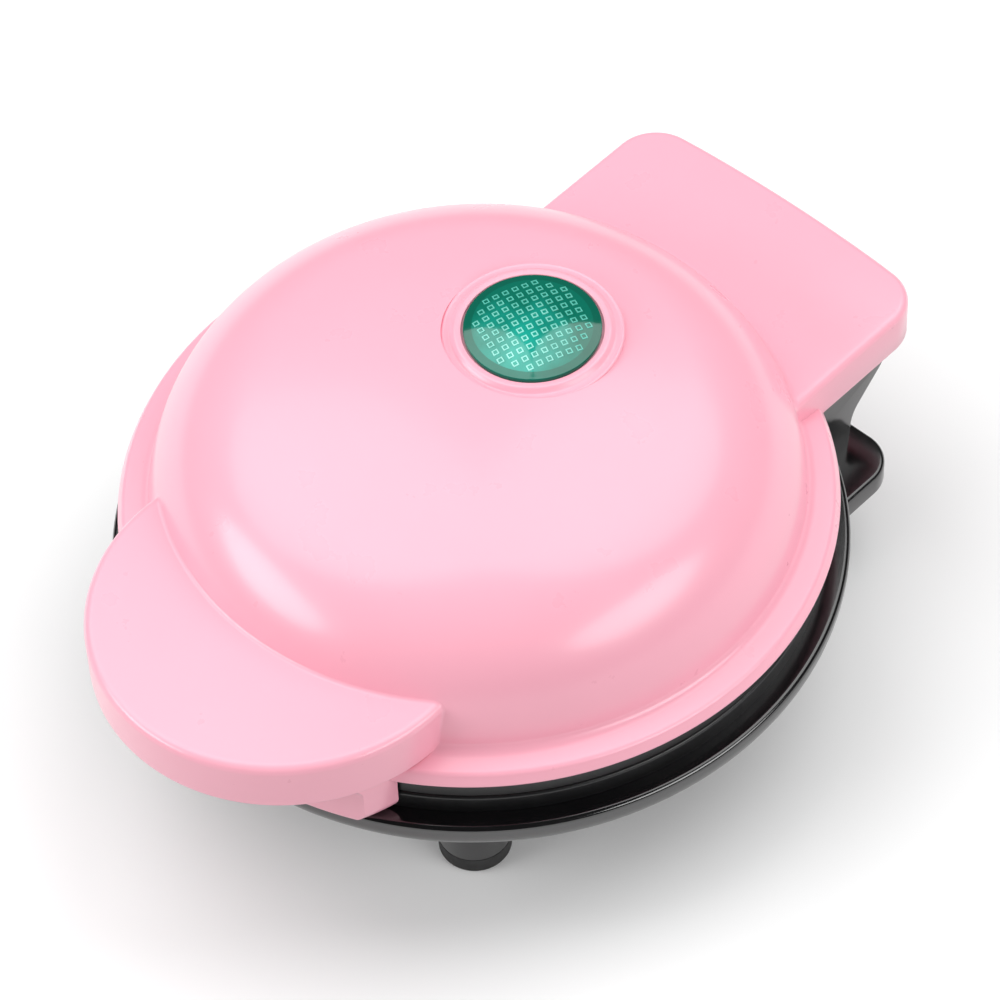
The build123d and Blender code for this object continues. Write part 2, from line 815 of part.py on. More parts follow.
with BuildPart() as thermal_fuse:
    with BuildSketch(side(-fuse_length / 2)):
        with Locations((fuse_y, shield_z + shield_thickness + fit + fuse_radius)):
            Circle(fuse_radius)
    extrude(amount=fuse_length)
    fillet(thermal_fuse.edges().filter_by(GeomType.CIRCLE), fuse_end)
    with BuildSketch(side(-fuse_length / 2 - fuse_lead)):
        with Locations((fuse_y, shield_z + shield_thickness + fit + fuse_radius)):
            Circle(fuse_wire)
    extrude(amount=fuse_length + 2 * fuse_lead)

thermal_fuse.part.label = "thermal_fuse"
export_step(thermal_fuse.part, "parts/thermal_fuse.step")

# Lamp: domed lens with a skirt, holder and indicator inside it, and the clip that grips the skirt
with BuildPart() as lamp_lens:
    cap_radius = (lens_radius**2 + lens_rise**2) / (2 * lens_rise)
    with Locations(level(lens_z + lens_rim + lens_rise - cap_radius, y=lens_y)):
        Sphere(cap_radius)
    split(bisect_by=Plane.XY.offset(lens_z + lens_rim), keep=Keep.TOP)
    with BuildSketch(level(lens_z, y=lens_y)):
        Circle(lens_radius)
    extrude(amount=lens_rim)
    with BuildSketch(level(lens_z, y=lens_y)):
        Circle(lens_skirt)
    extrude(amount=-lens_skirt_depth)
    with BuildSketch(level(lens_z - lens_skirt_depth, y=lens_y)):
        Circle(lens_skirt - lens_skirt_wall)
    extrude(amount=lens_skirt_depth + lens_rim / 2, mode=Mode.SUBTRACT)

lamp_lens.part.label = "lamp_lens"
export_step(lamp_lens.part, "parts/lamp_lens.step")

with BuildPart() as lamp_holder:
    with BuildSketch(level(lens_z, y=lens_y)):
        Circle(holder_radius)
    extrude(amount=-holder_depth)
    with BuildSketch(level(lens_z - holder_depth + holder_wall, y=lens_y)):
        Circle(holder_radius - holder_wall)
    extrude(amount=holder_depth, mode=Mode.SUBTRACT)

lamp_holder.part.label = "lamp_holder"
export_step(lamp_holder.part, "parts/lamp_holder.step")

with BuildPart() as lamp:
    lamp_z = lens_z - holder_depth + holder_wall + fit + lamp_radius
    with BuildSketch(side(-lamp_length / 2)):
        with Locations((lens_y, lamp_z)):
            Circle(lamp_radius)
    extrude(amount=lamp_length)
    fillet(lamp.edges().filter_by(GeomType.CIRCLE), lamp_end)

lamp.part.label = "lamp"
export_step(lamp.part, "parts/lamp.step")

with BuildPart() as lens_clip:
    with BuildSketch(level(lens_z - lens_skirt_depth + fit, y=lens_y)):
        Circle(lens_skirt + clip_width)
        Circle(lens_skirt + running, mode=Mode.SUBTRACT)
    extrude(amount=clip_height)

lens_clip.part.label = "lens_clip"
export_step(lens_clip.part, "parts/lens_clip.step")
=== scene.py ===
import bpy
import bmesh
import math
import numpy as np
from mathutils import Matrix, Vector


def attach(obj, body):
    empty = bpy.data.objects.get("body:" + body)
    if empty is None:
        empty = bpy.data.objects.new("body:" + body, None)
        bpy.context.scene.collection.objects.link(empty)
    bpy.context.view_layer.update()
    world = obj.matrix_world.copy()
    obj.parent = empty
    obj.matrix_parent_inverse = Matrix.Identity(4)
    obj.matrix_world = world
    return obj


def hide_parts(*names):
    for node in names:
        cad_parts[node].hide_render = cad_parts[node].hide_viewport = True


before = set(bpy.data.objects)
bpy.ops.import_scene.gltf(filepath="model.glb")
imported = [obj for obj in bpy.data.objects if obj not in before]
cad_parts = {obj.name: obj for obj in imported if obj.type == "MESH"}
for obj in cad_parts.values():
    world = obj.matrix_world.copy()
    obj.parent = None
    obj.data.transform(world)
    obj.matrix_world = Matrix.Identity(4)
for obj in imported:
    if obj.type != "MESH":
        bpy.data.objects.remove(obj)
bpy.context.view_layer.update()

# Lengths are millimetres until a piece is settled into the frame. A y is measured from the bowl's
# axis and gets AXIS_Y where it is named or where it is used.
MM = 0.001
AXIS_Y = -1.1
BOWL = (0.0, AXIS_Y)
FIT, WALL = 0.3, 2.3

# Facets round a whole turn
TURNS, SMALL_TURNS, LENS_CUT_TURNS, POST_TURNS, BORE_TURNS, BOSS_TURNS = 288, 200, 160, 96, 48, 64

# Heights that cutters run to, clear of what they cut
DEEP_CUT, LOW_CUT, HIGH_CUT, TOP_CUT = 20.0, 30.0, 60.0, 75.0

# Lid: rim with the room for the frame inside it, crown, shoulder, drafted wall, and bead
RIM_Z, RIM_R, RIM_FALL = 38.0, 62.5, 0.6
ROOM_Z, ROOM_R = 39.0, 60.4
CROWN_Z, CROWN_R = 69.2, 177.0
SHOULDER_R, FOOT_R, DRAFT = 24.5, 56.7, math.radians(9)
BEAD_Z, BEAD_R, BEAD_LEAD = 41.2, 61.3, 4.0
WALL_FILLET, BEAD_EDGE, RIM_EDGE = 2.2, 1.1, 0.45
CORE_INSET, CORE_STEPS = 1.1, 30

# Handle, a disc that the dome cuts to a crescent, and the apron under it
HANDLE = (0.0, AXIS_Y - 46.1)
HANDLE_R, HANDLE_TOP, HANDLE_LOW, HANDLE_WALL = 33.7, 50.9, 41.1, 2.4
HANDLE_EDGE, HANDLE_LOW_EDGE, HANDLE_INNER_EDGE = 1.6, 0.5, 1.2
APRON_INNER, APRON_OUTER, APRON_FLARE, APRON_DROP, APRON_ROOT = 61.1, 65.5, 67.7, 8.8, 0.9
APRON_INNER_EDGE, APRON_EDGE, APRON_BEND, APRON_BEND_R = 0.4, 0.9, 0.6, 2.5
APRON_HALF, APRON_END_DROP, APRON_END_R, APRON_END_TOP = 31.7, 9.0, 3.0, 1.0
APRON_SPREAD, SPREAD_START, SPREAD_END, SPREAD_R = 33.4, 1.2, 0.2, 1.6

# Hinge cover, with a rear edge bowed to a large radius
COVER_HALF, COVER_FRONT, COVER_REAR, COVER_TOP = 32.5, 46.1, 82.0, 46.4
COVER_EDGE, COVER_FOOT_EDGE, COVER_FOOT_MIDDLE = 1.4, 0.4, 0.12
COVER_BOW, COVER_CORNER, COVER_CORNER_SPAN = 325.0, 8.4, 9.0
COVER_ROOM_FRONT, COVER_ROOM_REAR, COVER_ROOM_CORNER = 50.0, 77.4, 4.0
HANDLE_FILLET, COVER_FILLET = 1.0, 1.6
HANDLE_FILLET_END, COVER_FILLET_END = 39.4, 38.9
HANDLE_GUESS, COVER_GUESS = AXIS_Y - 57.0, AXIS_Y + 58.0

# Hinge
HINGE_Y, AXLE_Z, KNUCKLE_R, PIN_BORE = 69.0, 35.5, 4.3, 2.05
HINGE = AXIS_Y + HINGE_Y
LUG_X, LUG_WIDTH, LUG_EDGE, LUG_ROOT = 21.0, 6.0, 0.3, 1.5
SLOT_GAP, SLOT_RISE, BORE_DEPTH = 0.4, 9.0, 19.5

# Lens and its seat
LENS = (0.0, AXIS_Y + 14.9)
LENS_Z, LENS_R, LENS_RIM, LENS_RISE = 68.4, 11.8, 0.8, 1.55
LENS_SKIRT, LENS_SKIRT_INNER, LENS_SKIRT_DEPTH = 10.0, 8.8, 6.0
SEAT_BORE, SEAT_R = LENS_SKIRT + FIT, LENS_R + FIT
COLLAR_WIDTH, LANDING_WIDTH = 1.6, 1.9
LANDING_R = SEAT_R + COLLAR_WIDTH + LANDING_WIDTH
LANDING_RISE, LANDING_EDGE = 0.05, 0.35
GROOVE_OUTER, GROOVE_INNER, GROOVE_DEPTH, GROOVE_EDGE = 15.0, 14.1, 0.25, 0.6
COLLAR_R, COLLAR_RISE, COLLAR_EDGE = 13.3, 0.62, 0.7
COLLAR_INNER_RISE, COLLAR_INNER_EDGE = 0.5, 0.25
RECESS_DEPTH, RECESS_OVERLAP = 0.5, 0.05
GRID_R, PITCH, GRID_TURN = 10.4, 1.85, math.radians(-20.5)
# Half width, as a share of the pitch, and lift of each ring of a raised square frame
TILE_RINGS = ((0.30, -0.08), (0.275, 0.11), (0.185, 0.11), (0.165, -0.03))

# Base: bowl with its ledge and lip, and the mouth that the frames stand in
LEDGE_Z, LIP_R, BOWL_WALL, BOWL_TRIM = 28.95, 64.2, 2.2, 1.2
FLOOR_Z, FLOOR_R, SLOPE_TOP = 7.0, 41.9, 24.4
BOWL_SWEEP, LIP_SWEEP, LIP_INNER_SWEEP, LIP_EDGE, LEDGE_EDGE = 25.0, 6.0, 1.5, 1.0, 0.3
MOUTH_R, MOUTH_LOW, FRAME_R, CORE_TOP = 57.6, 26.0, 60.7, 27.9

# Column with its flared back, the flange round its foot, the cord's inlet and the feet posts
COLUMN_HALF, COLUMN_FRONT, COLUMN_FOOT, COLUMN_LOW = 29.9, 31.25, 63.4, 13.4
COLUMN_BEND, COLUMN_BEND_R, COLUMN_EDGE, COLUMN_GAP = 64.7, 6.0, 0.6, 0.3
KNUCKLE_FLAT, BORE_CLEAR = 1.0, 1.0
FLARE = math.radians(42)
FLANGE_HALF, FLANGE_REAR, FLANGE_TOP, FLANGE_CORNER, FLANGE_EDGE = 38.5, AXIS_Y + 67.9, 18.3, 7.0, 0.8
INLET_Y, INLET_Z, INLET_BOSS_R, INLET_BORE_R = AXIS_Y + 65.7, 23.2, 4.6, 3.85
INLET_BOSS_DEPTH, INLET_BORE_DEPTH, INLET_CLEAR = 3.2, 9.0, 5.0
POST_X, POST_Y, POST_R, POST_LOW, POST_TOP, POST_EDGE = 30.3, 35.0, 6.35, 3.5, 20.0, 0.3


# Mesh helpers
def link(name, verts, faces):
    mesh = bpy.data.meshes.new(name)
    mesh.from_pydata(verts, [], faces)
    work = bmesh.new()
    work.from_mesh(mesh)
    bmesh.ops.remove_doubles(work, verts=work.verts, dist=1e-5)
    bmesh.ops.recalc_face_normals(work, faces=work.faces)
    work.to_mesh(mesh)
    work.free()
    obj = bpy.data.objects.new(name, mesh)
    bpy.context.scene.collection.objects.link(obj)
    return obj


def rounded(points, step=5):
    """Closed outline whose corners (x, y, radius) are rounded, with facets of a given angle."""
    out = []
    for k, (x, y, r) in enumerate(points):
        corner = Vector((x, y))
        if not r:
            out.append((x, y))
            continue
        a = (Vector(points[k - 1][:2]) - corner).normalized()
        b = (Vector(points[(k + 1) % len(points)][:2]) - corner).normalized()
        half = a.angle(b) / 2
        centre = corner + (a + b).normalized() * (r / math.sin(half))
        start = corner + a * (r / math.tan(half)) - centre
        end = corner + b * (r / math.tan(half)) - centre
        turn = math.atan2(start.x * end.y - start.y * end.x, start.dot(end))
        steps = max(2, math.ceil(abs(math.degrees(turn)) / step))
        for s in range(steps + 1):
            c, n = math.cos(turn * s / steps), math.sin(turn * s / steps)
            out.append((centre.x + c * start.x - n * start.y, centre.y + n * start.x + c * start.y))
    return out


def lathe(name, profile, centre=BOWL, turns=TURNS):
    """Solid of revolution from a closed profile of (radius, height)."""
    verts, rings = [], []
    for r, z in profile:
        if r < 1e-6:
            rings.append([len(verts)])
            verts.append((centre[0], centre[1], z))
        else:
            rings.append(list(range(len(verts), len(verts) + turns)))
            for k in range(turns):
                a = 2 * math.pi * k / turns
                verts.append((centre[0] + r * math.cos(a), centre[1] + r * math.sin(a), z))
    faces = []
    for low, high in zip(rings, rings[1:] + rings[:1]):
        for k in range(turns):
            m = (k + 1) % turns
            loop = [low[k % len(low)], low[m % len(low)], high[m % len(high)], high[k % len(high)]]
            face = [v for i, v in enumerate(loop) if v != loop[i - 1]]
            if len(set(face)) > 2:
                faces.append(face)
    return link(name, verts, faces)


def drum(name, radius, low, high, centre=BOWL, turns=SMALL_TURNS):
    """Plain upright cylinder, used as a cutter."""
    return lathe(name, [(0, low), (radius, low), (radius, high), (0, high)], centre, turns)


def prism(name, outline, levels, axes="xyz"):
    """Stack of rings of one outline, each drawn in by an inset at its level."""
    n = len(outline)
    pts = [Vector(p) for p in outline]
    area = sum(pts[k - 1].x * pts[k].y - pts[k].x * pts[k - 1].y for k in range(n))
    sign = 1 if area > 0 else -1
    inward = []
    for k in range(n):
        e1 = (pts[k] - pts[k - 1]).normalized()
        e2 = (pts[(k + 1) % n] - pts[k]).normalized()
        n1, n2 = Vector((-e1.y, e1.x)) * sign, Vector((-e2.y, e2.x)) * sign
        inward.append((n1 + n2) / (1 + n1.dot(n2)))
    verts = []
    for inset, level in levels:
        for p, d in zip(pts, inward):
            q = p + d * inset
            flat = {"xyz": (q.x, q.y, level), "yzx": (level, q.x, q.y), "xzy": (q.x, level, q.y)}
            verts.append(flat[axes])
    faces = [list(range(n)), list(range((len(levels) - 1) * n, len(levels) * n))]
    for k in range(len(levels) - 1):
        for i in range(n):
            j = (i + 1) % n
            faces.append([k * n + i, k * n + j, (k + 1) * n + j, (k + 1) * n + i])
    return link(name, verts, faces)


def quarter(inset, low, high, both=True, steps=6):
    """Levels of a prism with rounded top edges, and rounded lower ones too if both."""
    angles = [math.pi / 2 * s / steps for s in range(steps + 1)]
    if both:
        out = [(inset * (1 - math.sin(a)), low + inset * (1 - math.cos(a))) for a in angles]
    else:
        out = [(0, low)]
    return out + [(inset * (1 - math.cos(a)), high - inset * (1 - math.sin(a))) for a in angles]


def circle(x, y, r, n=BOSS_TURNS):
    return [(x + r * math.cos(2 * math.pi * k / n), y + r * math.sin(2 * math.pi * k / n)) for k in range(n)]


SOLVERS = bpy.types.BooleanModifier.bl_rna.properties["solver"].enum_items.keys()


def boolean(target, tool, operation="DIFFERENCE"):
    """Applies one solid to another and discards the tool."""
    step = target.modifiers.new("cut", "BOOLEAN")
    step.operation = operation
    step.object = tool
    step.solver = "MANIFOLD" if "MANIFOLD" in SOLVERS else "EXACT"
    shape = target.evaluated_get(bpy.context.evaluated_depsgraph_get())
    mesh = bpy.data.meshes.new_from_object(shape)
    target.modifiers.clear()
    target.data = mesh
    bpy.data.objects.remove(tool)
    return target


def join(name, objs):
    work = bmesh.new()
    for obj in objs:
        work.from_mesh(obj.data)
        bpy.data.objects.remove(obj)
    mesh = bpy.data.meshes.new(name)
    work.to_mesh(mesh)
    work.free()
    joined = bpy.data.objects.new(name, mesh)
    bpy.context.scene.collection.objects.link(joined)
    return joined


def smooth(mesh, degrees=32):
    """Smooth shading with every edge sharper than the angle kept crisp."""
    work = bmesh.new()
    work.from_mesh(mesh)
    for face in work.faces:
        face.smooth = True
    for edge in work.edges:
        if len(edge.link_faces) == 2:
            edge.smooth = edge.calc_face_angle(0) < math.radians(degrees)
    work.to_mesh(mesh)
    work.free()


def set_normals(mesh, field, near=0.02, alike=0.985):
    """Gives corners that lie on a known surface, and face its way, that surface's own normal."""
    mesh.update()
    n = len(mesh.loops)
    corner = np.empty(n * 3, np.float32)
    mesh.corner_normals.foreach_get("vector", corner)
    corner = corner.reshape(-1, 3)
    index = np.empty(n, np.int32)
    mesh.loops.foreach_get("vertex_index", index)
    co = np.empty(len(mesh.vertices) * 3, np.float32)
    mesh.vertices.foreach_get("co", co)
    where = co.reshape(-1, 3)[index]
    totals = np.array([p.loop_total for p in mesh.polygons])
    face = np.array([p.normal[:] for p in mesh.polygons], np.float32)
    face = np.repeat(face, totals, axis=0)
    distance, normal = field(where)
    on = (np.abs(distance) < near) & ((face * normal).sum(1) > alike)
    corner[on] = normal[on]
    mesh.normals_split_custom_set(corner.tolist())


def settle(obj, body, node, mats, normals=None):
    """Shades a finished piece, scales it to metres and puts it in the frame."""
    mesh = obj.data
    smooth(mesh)
    if normals:
        set_normals(mesh, normals)
    mesh.transform(Matrix.Scale(MM, 4))
    for mat in mats:
        mesh.materials.append(mat)
    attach(obj, body)
    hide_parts(node)
    return obj


# Dome surface
def shoulder_centre():
    """Centre of the arc between the crown and the drafted wall."""
    low, high = 10.0, 55.0
    for _ in range(60):
        r = (low + high) / 2
        z = CROWN_Z - CROWN_R + math.sqrt((CROWN_R - SHOULDER_R) ** 2 - r * r)
        gap = (FOOT_R - math.tan(DRAFT) * (z - BEAD_Z) - r) * math.cos(DRAFT)
        low, high = (r, high) if gap > SHOULDER_R else (low, r)
    return r, z


ARC_R, ARC_Z = shoulder_centre()
CROWN_ANGLE = math.atan2(ARC_R, ARC_Z - (CROWN_Z - CROWN_R))


def dome_profile(inset, low_z, steps=44):
    """Dome wall from its crown down to a height, drawn in by an inset."""
    pts = []
    for s in range(steps):
        a = CROWN_ANGLE * s / steps
        radius = CROWN_R - inset
        pts.append((radius * math.sin(a), CROWN_Z - CROWN_R + radius * math.cos(a)))
    for s in range(steps + 1):
        a = (math.pi / 2 - CROWN_ANGLE) * (1 - s / steps) + DRAFT * s / steps
        radius = SHOULDER_R - inset
        pts.append((ARC_R + radius * math.cos(a), ARC_Z + radius * math.sin(a)))
    foot = FOOT_R - inset / math.cos(DRAFT) + math.tan(DRAFT) * (BEAD_Z - low_z)
    pts.append((foot, low_z))
    return pts


def dome_field(p):
    """Distance outside the dome and its outward normal, for rows of points."""
    x, y, z = p[:, 0], p[:, 1] - AXIS_Y, p[:, 2]
    r = np.maximum(np.hypot(x, y), 1e-9)
    up = z - (CROWN_Z - CROWN_R)
    top = np.arctan2(r, up) < CROWN_ANGLE
    side = np.arctan2(z - ARC_Z, r - ARC_R) < DRAFT
    far = np.hypot(r, up)
    near = np.maximum(np.hypot(r - ARC_R, z - ARC_Z), 1e-9)
    wall = (r - FOOT_R + math.tan(DRAFT) * (z - BEAD_Z)) * math.cos(DRAFT)
    d = np.where(top, far - CROWN_R, np.where(side, wall, near - SHOULDER_R))
    nr = np.where(top, r / far, np.where(side, math.cos(DRAFT), (r - ARC_R) / near))
    nz = np.where(top, up / far, np.where(side, math.sin(DRAFT), (z - ARC_Z) / near))
    return d, np.stack([nr * x / r, nr * y / r, nz], 1)


def post_field(plan, top, edge):
    """Distance outside an upright post of a given plan with a rounded top edge."""
    def field(p):
        side = plan(p) + edge
        over = p[:, 2] - top + edge
        out = np.hypot(np.maximum(side, 0), np.maximum(over, 0))
        return out + np.minimum(np.maximum(side, over), 0) - edge
    return field


def gradient(field, p, h=1e-3):
    return np.array([(field(p + h * e)[0] - field(p - h * e)[0]) / (2 * h) for e in np.eye(3)])


def fillet(name, other, start, radius, low_z, steps=14, stride=0.35, sink=0.5, longest=700):
    """Concave fillet where another surface leaves the dome, swept by a ball that touches both."""
    def dome_distance(p):
        return dome_field(p)[0]

    def touch(c):
        """Moves the ball's centre to where it touches both, and gives both normals there."""
        for _ in range(12):
            f = np.array([dome_distance(c[None])[0] - radius, other(c[None])[0] - radius])
            jac = np.array([gradient(dome_distance, c[None]), gradient(other, c[None])])
            c = c - jac.T @ np.linalg.solve(jac @ jac.T, f)
        return c, jac[0] / np.linalg.norm(jac[0]), jac[1] / np.linalg.norm(jac[1])

    runs = []
    for way in (1, -1):
        run = [touch(np.array(start, float))]
        while run[-1][0][2] > low_z and len(run) < longest:
            c, n1, n2 = run[-1]
            along = np.cross(n1, n2)
            run.append(touch(c + way * stride * along / np.linalg.norm(along)))
        runs.append(run)
    path = runs[1][:0:-1] + runs[0]
    verts, faces, width = [], [], steps + 2
    for c, n1, n2 in path:
        turn = math.acos(max(-1, min(1, float(n1 @ n2))))
        for s in range(steps + 1):
            t = s / steps
            d = (math.sin((1 - t) * turn) * n1 + math.sin(t * turn) * n2) / math.sin(turn)
            verts.append(tuple(c - radius * d))
        both = (n1 + n2) / np.linalg.norm(n1 + n2)
        verts.append(tuple(c - both * (radius / math.cos(turn / 2) + sink)))
    for k in range(len(path) - 1):
        for s in range(width):
            t = (s + 1) % width
            faces.append([k * width + s, k * width + t, (k + 1) * width + t, (k + 1) * width + s])
    faces.append(list(range(width)))
    faces.append(list(range((len(path) - 1) * width, len(path) * width)))
    return link(name, verts, faces)


# Shader helpers
NOISE = "ShaderNodeTexNoise"
WHITE = (1, 1, 1, 1)
BUMP_DEPTH = 0.0001
# Frequency of the patches of roughness and of the speckles, as shares of the mottling and the grain
PATCH_SHARE, SPECKLE_SHARE = 3.7, 0.6


def set_inputs(node, **values):
    """Sets a node's inputs; an underscore in a key stands for a space in the input's name."""
    for key, value in values.items():
        node.inputs[key.replace("_", " ")].default_value = value


def add_node(tree, kind, **values):
    made = tree.nodes.new(kind)
    set_inputs(made, **values)
    return made


def nodes_of(name):
    mat = bpy.data.materials.new(name)
    mat.use_nodes = True
    tree = mat.node_tree
    return mat, tree, tree.nodes["Principled BSDF"], tree.nodes.new("ShaderNodeTexCoord")


def texture(tree, coord, kind, scale, stretch=(1, 1, 1), **inputs):
    place = add_node(tree, "ShaderNodeMapping", Scale=[scale * s for s in stretch])
    tree.links.new(coord.outputs["Object"], place.inputs["Vector"])
    tex = add_node(tree, kind, Scale=1.0, **inputs)
    tree.links.new(place.outputs["Vector"], tex.inputs["Vector"])
    return tex.outputs[0]


def spread(tree, source, low, high, start=0.3, end=0.7):
    """Stretches a value's range from start to end over the range from low to high."""
    band = add_node(tree, "ShaderNodeMapRange", From_Min=start, From_Max=end, To_Min=low, To_Max=high)
    tree.links.new(source, band.inputs["Value"])
    return band.outputs["Result"]


def sum_of(tree, source, factor, added):
    """One socket times a factor, plus another socket."""
    made = tree.nodes.new("ShaderNodeMath")
    made.operation = "MULTIPLY_ADD"
    made.inputs[1].default_value = factor
    tree.links.new(source, made.inputs[0])
    tree.links.new(added, made.inputs[2])
    return made.outputs[0]


def colour_mix(tree, factor):
    """Mix of two colours: its two inputs and its output."""
    mix = tree.nodes.new("ShaderNodeMix")
    mix.data_type = "RGBA"
    tree.links.new(factor, mix.inputs["Factor"])
    first, second = [socket for socket in mix.inputs if socket.type == "RGBA"]
    return first, second, next(socket for socket in mix.outputs if socket.type == "RGBA")


def blend(tree, factor, low, high):
    first, second, mixed = colour_mix(tree, factor)
    first.default_value = (*low, 1)
    second.default_value = (*high, 1)
    return mixed


def distance_from(tree, vector):
    """Length of a vector."""
    length = tree.nodes.new("ShaderNodeVectorMath")
    length.operation = "LENGTH"
    tree.links.new(vector, length.inputs[0])
    return length.outputs["Value"]


def either(tree, factor, low, high):
    """Mix of two shaders."""
    mix = tree.nodes.new("ShaderNodeMixShader")
    tree.links.new(factor, mix.inputs["Fac"])
    tree.links.new(low, mix.inputs[1])
    tree.links.new(high, mix.inputs[2])
    return mix.outputs[0]


def raise_surface(tree, shader, height, strength):
    bump = add_node(tree, "ShaderNodeBump", Strength=strength, Distance=BUMP_DEPTH)
    tree.links.new(height, bump.inputs["Height"])
    tree.links.new(bump.outputs["Normal"], shader.inputs["Normal"])


# Materials
def material(
    name, dark, light, rough, bump, scale, grain,
    stretch=(1, 1, 1), metallic=0.0, ior=1.5, coat=0.0, speckle=0.0,
):
    """Shader with mottled colour, uneven roughness and a fine grain."""
    mat, tree, shader, coord = nodes_of(name)
    broad = texture(tree, coord, NOISE, scale, stretch, Detail=4.0, Roughness=0.6)
    tree.links.new(blend(tree, spread(tree, broad, 0, 1), dark, light), shader.inputs["Base Color"])
    patch = texture(tree, coord, NOISE, scale * PATCH_SHARE, stretch, Detail=5.0, Roughness=0.55)
    tree.links.new(spread(tree, patch, *rough), shader.inputs["Roughness"])
    fine = texture(tree, coord, NOISE, grain, stretch, Detail=6.0, Roughness=0.65)
    if speckle:
        dots = texture(tree, coord, "ShaderNodeTexVoronoi", grain * SPECKLE_SHARE)
        fine = sum_of(tree, dots, speckle, fine)
    raise_surface(tree, shader, fine, bump)
    set_inputs(shader, Metallic=metallic, IOR=ior, Coat_Weight=coat, Coat_Roughness=0.15)
    return mat


# Dark and light tone, range of roughness, strength of the grain, and sizes of mottling and grain
LOOKS = {
    "pink_plastic": dict(
        dark=(0.950, 0.428, 0.532), light=(0.970, 0.440, 0.546),
        rough=(0.27, 0.30), bump=0.02, scale=30, grain=700, coat=0.3,
    ),
    "black_plastic": dict(
        dark=(0.0035, 0.0035, 0.004), light=(0.0055, 0.0055, 0.006),
        rough=(0.12, 0.18), bump=0.05, scale=40, grain=800, ior=1.85,
    ),
    "soft_black": dict(
        dark=(0.006, 0.006, 0.0065), light=(0.010, 0.010, 0.011),
        rough=(0.28, 0.36), bump=0.15, scale=50, grain=1200,
    ),
    "nonstick": dict(
        dark=(0.016, 0.016, 0.017), light=(0.030, 0.030, 0.032),
        rough=(0.30, 0.42), bump=0.25, scale=90, grain=1500, speckle=0.5,
    ),
    "element_steel": dict(
        dark=(0.30, 0.27, 0.25), light=(0.46, 0.43, 0.40),
        rough=(0.30, 0.45), bump=0.25, scale=120, grain=900, metallic=1.0,
    ),
    "sheet_steel": dict(
        dark=(0.50, 0.50, 0.51), light=(0.62, 0.62, 0.63),
        rough=(0.22, 0.34), bump=0.20, scale=60, grain=500, stretch=(1, 12, 1), metallic=1.0,
    ),
    "shield_aluminium": dict(
        dark=(0.72, 0.73, 0.74), light=(0.84, 0.85, 0.86),
        rough=(0.20, 0.32), bump=0.2, scale=50, grain=420, stretch=(10, 1, 1), metallic=1.0,
    ),
    "thermostat_body": dict(
        dark=(0.72, 0.69, 0.62), light=(0.82, 0.80, 0.74),
        rough=(0.45, 0.6), bump=0.3, scale=120, grain=1400, speckle=0.3,
    ),
    "fuse_sleeve": dict(
        dark=(0.74, 0.72, 0.66), light=(0.86, 0.84, 0.78),
        rough=(0.55, 0.7), bump=0.4, scale=100, grain=900, stretch=(1, 8, 8),
    ),
    "pin_steel": dict(
        dark=(0.58, 0.58, 0.59), light=(0.70, 0.70, 0.71),
        rough=(0.16, 0.26), bump=0.15, scale=80, grain=600, stretch=(8, 1, 1), metallic=1.0,
    ),
    "screw_steel": dict(
        dark=(0.52, 0.52, 0.53), light=(0.66, 0.66, 0.67),
        rough=(0.22, 0.34), bump=0.2, scale=160, grain=1200, metallic=1.0,
    ),
    "spring_steel": dict(
        dark=(0.40, 0.40, 0.42), light=(0.52, 0.52, 0.54),
        rough=(0.2, 0.3), bump=0.2, scale=90, grain=900, metallic=1.0,
    ),
    "white_plastic": dict(
        dark=(0.80, 0.80, 0.78), light=(0.88, 0.88, 0.86), rough=(0.3, 0.4), bump=0.1, scale=60, grain=800,
    ),
    "lamp_glass": dict(
        dark=(0.85, 0.55, 0.35), light=(0.93, 0.70, 0.50),
        rough=(0.05, 0.12), bump=0.05, scale=200, grain=900,
    ),
    "foot_rubber": dict(
        dark=(0.018, 0.018, 0.018), light=(0.030, 0.030, 0.030),
        rough=(0.55, 0.7), bump=0.4, scale=80, grain=1400, speckle=0.4,
    ),
}
MATS = {name: material(name, **look) for name, look in LOOKS.items()}

# The lens's colour is painted brightest at this point, a painted glow that stands in for gathered light, and
# darkens between two distances from it, in metres, which a cloudy pattern shifts
PAINTED_GLOW_SPOT = (LENS[0] + 2.5, LENS[1] - 6.0, LENS_Z)
PAINTED_GLOW_NEAR, PAINTED_GLOW_FAR, PAINTED_GLOW_CLOUD = 0.005, 0.017, 0.010


def lens_material(name, dark, light, rough):
    """Clear green plastic, its colour painted brighter towards its front as a painted glow of the light
    gathering there.
    """
    mat, tree, shader, coord = nodes_of(name)
    place = add_node(tree, "ShaderNodeMapping", Location=[-c * MM for c in PAINTED_GLOW_SPOT])
    tree.links.new(coord.outputs["Object"], place.inputs["Vector"])
    away = distance_from(tree, place.outputs["Vector"])
    cloud = texture(tree, coord, NOISE, 260, Detail=3.0)
    # Painted glow: the colour is lighter nearer the spot, in place of light gathered in the lens
    painted_glow = spread(tree, sum_of(tree, cloud, PAINTED_GLOW_CLOUD, away), 1.0, 0.0, PAINTED_GLOW_NEAR, PAINTED_GLOW_FAR)
    tree.links.new(blend(tree, painted_glow, dark, light), shader.inputs["Base Color"])
    patch = texture(tree, coord, NOISE, 400, Detail=4.0)
    tree.links.new(spread(tree, patch, rough, rough + 0.05), shader.inputs["Roughness"])
    raise_surface(tree, shader, texture(tree, coord, NOISE, 900, Detail=3.0), 0.05)
    set_inputs(shader, IOR=1.5, Coat_Weight=0.4, Coat_Roughness=0.04)
    return mat


